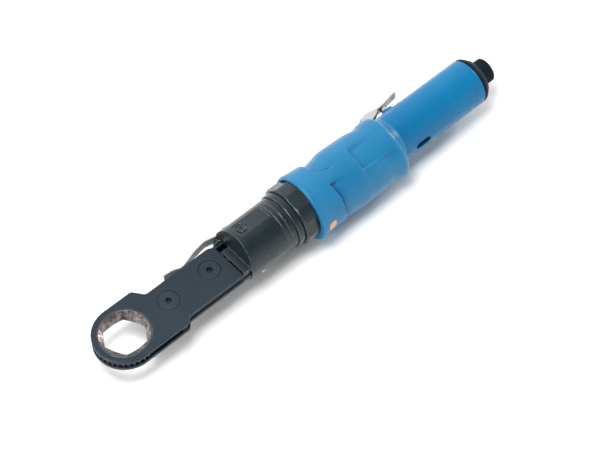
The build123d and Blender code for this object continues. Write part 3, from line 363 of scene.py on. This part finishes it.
def worn_ring(name):
    """Hex ring: dark steel collar and teeth, with a scuffed brown-grey hex and lead-in cone."""
    mat, tree, shader = blank_material(name)
    streaks = noise(tree, 260, 4, (1, 1, 0.25), 0.7)
    scuffed = ramp(tree, streaks, [(0.36, (0.035, 0.030, 0.030)), (0.47, (0.16, 0.14, 0.135)),
                                   (0.62, (0.36, 0.335, 0.32))])
    blotches = ramp(tree, noise(tree, 110, 3), [(0.38, (0.55, 0.50, 0.48)), (0.6, (1.0, 1.0, 1.0))])
    scuffed = mix(tree, 1.0, scuffed, blotches, "MULTIPLY")
    collar = ramp(tree, noise(tree, 500, 3),
                  [(0.3, (0.045, 0.048, 0.054)), (0.7, (0.085, 0.088, 0.094))])
    outside = rising(tree, distance_from_axis(tree), 16.5 * MM, 17.0 * MM)
    colour = mix(tree, outside, scuffed, collar)
    edges, rounded = edge_mask(tree, 0.0004)
    share = mix(tree, 1.0, edges, (0.5,) * 3, "MULTIPLY")
    # Edges painted paler: wear and painted highlight.
    tree.links.new(mix(tree, share, colour, (0.30, 0.29, 0.28)), shader.inputs["Base Color"])
    shader.inputs["Metallic"].default_value = 0.8
    tree.links.new(ramp(tree, streaks, [(0.35, 0.48), (0.65, 0.26)]), shader.inputs["Roughness"])
    add_bump(tree, shader, streaks, 0.4, RING_BUMP, rounded)
    return mat


def make_materials():
    """One finish for each material slot of the record."""
    # Edge colours paint the edges, the paler ones as wear and painted highlight; grip_blue's crease colour
    # is painted shade in its creases.
    return {
        "blued_plate": metal("blued_plate", (0.010, 0.020, 0.029), (0.016, 0.026, 0.037), (0.38, 0.5),
                             (0.16, 0.19, 0.22), metallic=0.1, bump=0.2, grain=(0.25, 1, 1), specular=0.25),
        "black_oxide": metal("black_oxide", (0.009, 0.017, 0.022), (0.018, 0.030, 0.037), (0.22, 0.30),
                             (0.34, 0.36, 0.38), metallic=0.3, bump=0.05, grain=(1, 0.3, 0.3),
                             edge_share=0.8),
        "worn_steel": metal("worn_steel", (0.05, 0.05, 0.052), (0.13, 0.125, 0.12), (0.3, 0.5),
                            (0.30, 0.29, 0.28), bump=0.4, patch_scale=180, grain_scale=600),
        "spring_steel": metal("spring_steel", (0.42, 0.43, 0.42), (0.60, 0.61, 0.60), (0.34, 0.46),
                              (0.10, 0.10, 0.10), metallic=0.7, grain=(0.1, 1, 1)),
        "bright_steel": metal("bright_steel", (0.40, 0.40, 0.39), (0.60, 0.60, 0.59), (0.22, 0.38),
                              (0.75, 0.75, 0.75), grain=(0.15, 1, 1)),
        "bearing_steel": metal("bearing_steel", (0.38, 0.38, 0.39), (0.52, 0.52, 0.53), (0.22, 0.34),
                               (0.42, 0.44, 0.46)),
        "phenolic": moulded("phenolic", (0.16, 0.075, 0.03), (0.24, 0.12, 0.05), (0.45, 0.6)),
        "grip_blue": moulded("grip_blue", (0.009, 0.150, 0.312), (0.014, 0.174, 0.346), (0.27, 0.36),
                             edge_colour=(0.06, 0.33, 0.60), crease_shade=(0.001, 0.07, 0.20), specular=0.3),
        "tube_blue": moulded("tube_blue", (0.0005, 0.134, 0.302), (0.001, 0.152, 0.330), (0.22, 0.30),
                             texture_scale=700, bump=0.12, edge_colour=(0.03, 0.28, 0.52), specular=0.22),
        "black_cap": metal("black_cap", (0.004, 0.011, 0.016), (0.008, 0.018, 0.024), (0.42, 0.55),
                           (0.02, 0.025, 0.03), metallic=0.0, bump=0.3, specular=0.06),
        "brass_part": metal("brass_part", (0.45, 0.30, 0.10), (0.60, 0.42, 0.17), (0.24, 0.38),
                            (0.8, 0.66, 0.4)),
        "alloy": metal("alloy", (0.48, 0.49, 0.50), (0.62, 0.63, 0.64), (0.3, 0.42), (0.8, 0.8, 0.8)),
        "felt": moulded("felt", (0.35, 0.35, 0.33), (0.5, 0.5, 0.47), (0.9, 1.0),
                        texture_scale=2600, bump=0.8),
        "rubber_seal": moulded("rubber_seal", (0.012, 0.012, 0.012), (0.022, 0.022, 0.022), (0.5, 0.65)),
    }


def dress_nodes(materials):
    """Gives every CAD node the detailed finish of its own slot."""
    slots = {part["node"]: part["material_slot"] for part in frame["record"]["subparts"]}
    # Screw heads in the plate's colour, with their edges painted near black as the shade in the gap round
    # each head.
    screws = metal("screw_heads", (0.010, 0.020, 0.029), (0.017, 0.028, 0.039), (0.36, 0.48),
                   (0.001, 0.001, 0.002), metallic=0.1, edge_share=1.0, edge_radius=0.0010, specular=0.25)
    own = {"ratchet_ring": worn_ring("hex_ring"), "head_screws": screws, "head_nuts": screws}
    for name, node in frame["nodes"].items():
        for index in range(len(node.material_slots)):
            node.material_slots[index].material = own.get(name, materials[slots[name]])


# ---------------------------------------------------------------- grip
# Sections of the grip in mm: X, then its reach towards +Y, towards -Y and towards +-Z.
GRIP_SECTIONS = [(147.6, 23.1, 26.4, 24.5), (150.0, 23.2, 26.3, 24.6), (157.0, 22.4, 25.4, 24.1),
                 (163.0, 21.8, 25.2, 23.8), (168.0, 21.4, 25.2, 23.7), (174.0, 21.5, 25.1, 23.8),
                 (181.0, 21.7, 25.3, 23.9), (190.0, 21.4, 25.6, 24.0), (200.0, 20.9, 25.8, 23.8),
                 (205.5, 20.0, 25.5, 23.6), (209.5, 19.1, 25.2, 23.4), (211.3, 19.2, 25.1, 23.4),
                 (213.8, 20.2, 25.4, 23.6), (218.5, 20.9, 26.2, 24.0), (221.8, 20.5, 26.1, 23.8),
                 (223.4, 19.4, 25.5, 22.6), (224.6, 18.5, 24.4, 20.8), (225.8, 17.9, 22.6, 19.0),
                 (227.0, 17.6, 20.2, 18.0), (228.4, 17.5, 18.2, 17.6), (229.6, 17.45, 17.5, 17.45)]
EDGE_ROUND = 1.3              # rounding of the grip's front edge
MOUTH_R = 21.62               # mouth round the nut
GRIP_BORE_R = 18.76
TUBE_HOLE_R = 17.26
GRIP_AROUND = 216             # points round the grip
HOLLOWS_START, HOLLOWS_END = (150, 154), (220, 223)   # X over which the hollows fade in and out
LEVER_SCOOP_DEPTH = 2.0
PALM_SCOOP_DEPTH = 1.7        # of its front part
PALM_TAIL_DEPTH = 0.5         # of the long shallow part behind it
THUMB_REST_DEPTH = 1.2
SIDE_LINE_DEPTH = 0.5
CRISP_PLACES = ((165.5, 4), (190.8, 1.5), (212, 4), (171, 4))   # X and reach of the close rings
CRISP_STEP, PLAIN_STEP = 0.45, 1.0

# Slot round the lever, in mm.
SLOT_X, SLOT_Y = (219, 250), (15, 40)
SLOT_GAP, SLOT_ROUND = 1.0, 1.2

# Inlay: its middle and half size, along X in mm and round the grip in degrees.
INLAY_X, INLAY_TURN = 155.2, 179.5
INLAY_HALF_X, INLAY_HALF_TURN = 3.2, 7.0
INLAY_AROUND = 48
# Share of its half size and height over the grip in mm, from the middle out, down and back in.
INLAY_LAYERS = ((0.0, 0.2), (0.5, 0.2), (0.93, 0.2), (1.0, 0.08), (1.0, -0.5), (0.0, -0.5))

# Coil spring of the valve.
SPRING_WIRE_R, SPRING_PITCH = 0.35 * MM, 1.7 * MM
SPRING_AROUND, SPRING_STEPS = 10, 150


def lever_scoop(x, turn):
    """Finger hollow on the lever side, with a crisp hooked front edge, fading to the rear."""
    edge = 163.6 + 9.5 * blend(turn, 78, 98) ** 2
    depth = LEVER_SCOOP_DEPTH * (1 - blend(x, 166.5, 182))
    return -depth * blend(x, edge - 0.7, edge + 0.9) * (1 - blend(turn, 92.5, 98))


def palm_scoop(x, turn):
    """Crescent hollow on the palm side, with a crisp front edge."""
    depth = (PALM_SCOOP_DEPTH * (1 - blend(x, 167.8, 173))
             + PALM_TAIL_DEPTH * (1 - blend(x, 173, 188)))
    start = 117 + 14 * blend(x, 167, 192)
    edge = 164.8 + 2.2 * blend(turn, 120, 150)
    return -depth * blend(x, edge, edge + 1.8) * blend(turn, start - 2.5, start + 2.5)


def thumb_rest(x, turn):
    """Lowered rest behind a crisp crosswise step."""
    depth = THUMB_REST_DEPTH * (1 - blend(x, 194, 217))
    return -depth * blend(x, 190.3, 191.3) * blend(turn, 84, 93) * (1 - blend(turn, 126, 133))


def side_line(x, turn):
    """Small step along the side, between the thumb rest and the palm."""
    along = -SIDE_LINE_DEPTH * blend(x, 187, 194) * (1 - blend(x, 217, 222))
    return along * blend(turn, 131.5, 134.5)


def grip_radius(x, turn):
    """Outer radius of the grip at x, turn degrees from +Y (0) through -Y (180) and on."""
    turn = min(turn, 360 - turn)
    lever_side, palm_side, half_high = through(GRIP_SECTIONS, x)
    across = lever_side if turn < 90 else palm_side
    angle = math.radians(turn)
    radius = 1 / math.hypot(math.cos(angle) / across, math.sin(angle) / half_high)
    fade = blend(x, *HOLLOWS_START) * (1 - blend(x, *HOLLOWS_END))
    return radius + fade * (lever_scoop(x, turn) + palm_scoop(x, turn) + thumb_rest(x, turn)
                            + side_line(x, turn))


def grip_stations():
    """X of each ring of the grip's surface, closer together at the crisp edges."""
    xs, x = [], GRIP_SECTIONS[0][0] + EDGE_ROUND
    while x < GRIP_SECTIONS[-1][0] - 0.2:
        xs.append(x)
        crisp = min(abs(x - place) / reach for place, reach in CRISP_PLACES)
        x += CRISP_STEP if crisp < 1 else PLAIN_STEP
    return xs + [GRIP_SECTIONS[-1][0]]


def make_grip(material):
    """The grip: mouth and rounded front edge, outer surface, then the bore back to the mouth."""
    turns = [360 * k / GRIP_AROUND for k in range(GRIP_AROUND)]
    rings = []

    def ring(x, radius_at):
        rings.append([(x * MM, radius_at(t) * math.cos(math.radians(t)) * MM,
                       radius_at(t) * math.sin(math.radians(t)) * MM) for t in turns])

    front, rear = GRIP_SECTIONS[0][0], GRIP_SECTIONS[-1][0]
    ring(front + 2.0, lambda t: GRIP_BORE_R)
    ring(front + 2.0, lambda t: MOUTH_R)
    ring(front + 0.3, lambda t: MOUTH_R)
    ring(front, lambda t: MOUTH_R + 0.25)
    for step in range(6, 0, -1):
        angle = math.radians(90 * step / 6)
        inset = EDGE_ROUND * (1 - math.cos(angle))
        x = front + EDGE_ROUND * (1 - math.sin(angle))
        ring(x, lambda t, inset=inset: max(grip_radius(front + EDGE_ROUND, t) - inset, MOUTH_R + 0.3))
    for x in grip_stations():
        ring(x, lambda t, x=x: grip_radius(x, t))
    ring(rear + 0.1, lambda t: TUBE_HOLE_R + 0.15)
    ring(rear, lambda t: TUBE_HOLE_R)
    step_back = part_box("motor_housing")[1].x / MM + 0.1
    ring(step_back, lambda t: TUBE_HOLE_R)
    ring(step_back, lambda t: GRIP_BORE_R)
    points = [p for r in rings for p in r]
    grip = mesh_object("grip_sleeve_skin", points, wall_faces(len(rings), GRIP_AROUND, closed=True))
    cut_lever_slot(grip)
    grip.data.materials.append(material)
    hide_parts("grip_sleeve")
    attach(grip, "housing")


def make_inlay():
    """Small orange inlay with rounded corners, slightly proud of the grip on its -Y side."""
    points = []
    for share, lift in INLAY_LAYERS:
        for k in range(INLAY_AROUND):
            angle = 2 * math.pi * k / INLAY_AROUND
            across, along = math.cos(angle), math.sin(angle)
            x = INLAY_X + share * INLAY_HALF_X * math.copysign(abs(across) ** 0.5, across)
            turn = INLAY_TURN + share * INLAY_HALF_TURN * math.copysign(abs(along) ** 0.5, along)
            radius = grip_radius(x, turn) + lift
            bearing = math.radians(turn)
            points.append((x * MM, radius * math.cos(bearing) * MM, radius * math.sin(bearing) * MM))
    inlay = mesh_object("grip_inlay", points, wall_faces(len(INLAY_LAYERS), INLAY_AROUND))
    shape = bmesh.new()
    shape.from_mesh(inlay.data)
    bmesh.ops.remove_doubles(shape, verts=shape.verts, dist=1e-7)
    bmesh.ops.recalc_face_normals(shape, faces=shape.faces)
    shape.to_mesh(inlay.data)
    shape.free()
    inlay.data.shade_smooth()
    inlay.data.set_sharp_from_angle(angle=math.radians(50))
    orange = moulded("inlay_orange", (0.74, 0.34, 0.15), (0.84, 0.42, 0.21), (0.35, 0.45))
    inlay.data.materials.append(orange)
    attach(inlay, "housing")


def make_valve_spring(material):
    """The valve's coil spring, a helix of round wire in the box of the CAD spring."""
    low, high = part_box("valve_spring")
    circle = (high.x - low.x) / 2 - SPRING_WIRE_R
    middle = (low.x + high.x) / 2
    start, length = low.y + SPRING_WIRE_R, high.y - low.y - 2 * SPRING_WIRE_R
    rise = SPRING_PITCH / (2 * math.pi)
    points = []
    for i in range(SPRING_STEPS + 1):
        along = length * i / SPRING_STEPS
        angle = 2 * math.pi * along / SPRING_PITCH
        outward = Vector((math.cos(angle), 0, -math.sin(angle)))
        forward = Vector((-math.sin(angle) * circle, rise, -math.cos(angle) * circle)).normalized()
        centre = Vector((middle, start + along, 0)) + outward * circle
        across = forward.cross(outward)
        for k in range(SPRING_AROUND):
            turn = 2 * math.pi * k / SPRING_AROUND
            points.append(centre + (outward * math.cos(turn) + across * math.sin(turn)) * SPRING_WIRE_R)
    first, last = range(SPRING_AROUND), SPRING_STEPS * SPRING_AROUND
    faces = wall_faces(SPRING_STEPS + 1, SPRING_AROUND)
    faces += [tuple(first)[::-1], tuple(last + k for k in first)]
    spring = mesh_object("valve_spring_coil", points, faces, 40)
    spring.data.materials.append(material)
    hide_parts("valve_spring")
    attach(spring, "housing")
    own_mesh(spring)


def rounded_box(name, low, high, radius):
    """A box with rounded edges, to cut with."""
    points = [(x, y, z) for x in (low[0], high[0]) for y in (low[1], high[1]) for z in (low[2], high[2])]
    faces = [(0, 1, 3, 2), (4, 6, 7, 5), (0, 4, 5, 1), (2, 3, 7, 6), (0, 2, 6, 4), (1, 5, 7, 3)]
    box = mesh_object(name, points, faces)
    bevel = box.modifiers.new("round", "BEVEL")
    bevel.width, bevel.segments = radius, 5
    return box


def settle(obj):
    """Replaces an object's mesh by its mesh with the modifiers applied."""
    bpy.context.view_layer.update()
    made = bpy.data.meshes.new_from_object(obj.evaluated_get(bpy.context.evaluated_depsgraph_get()))
    obj.modifiers.clear()
    obj.data = made


def cut_lever_slot(grip):
    """Opens the rear of the grip round the lever, with a gap on each side of it."""
    low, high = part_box("throttle_lever")
    half = (high.z - low.z) / 2 + SLOT_GAP * MM
    box = rounded_box("slot_tool", (SLOT_X[0] * MM, SLOT_Y[0] * MM, -half),
                      (SLOT_X[1] * MM, SLOT_Y[1] * MM, half), SLOT_ROUND * MM)
    cut = grip.modifiers.new("slot", "BOOLEAN")
    cut.operation, cut.object, cut.solver = "DIFFERENCE", box, "EXACT"
    settle(grip)
    bpy.data.objects.remove(box)
    grip.data.shade_smooth()
    grip.data.set_sharp_from_angle(angle=math.radians(38))


# ---------------------------------------------------------------- making it all
def main():
    scene = bpy.context.scene
    scene.view_settings.view_transform = "Standard"
    scene.view_settings.look = "None"
    make_camera()
    make_world()
    for light in LIGHTS:
        area_light(*light)
    make_floor()
    materials = make_materials()
    dress_nodes(materials)
    make_grip(materials["grip_blue"])
    make_inlay()
    make_valve_spring(materials["spring_steel"])


main()
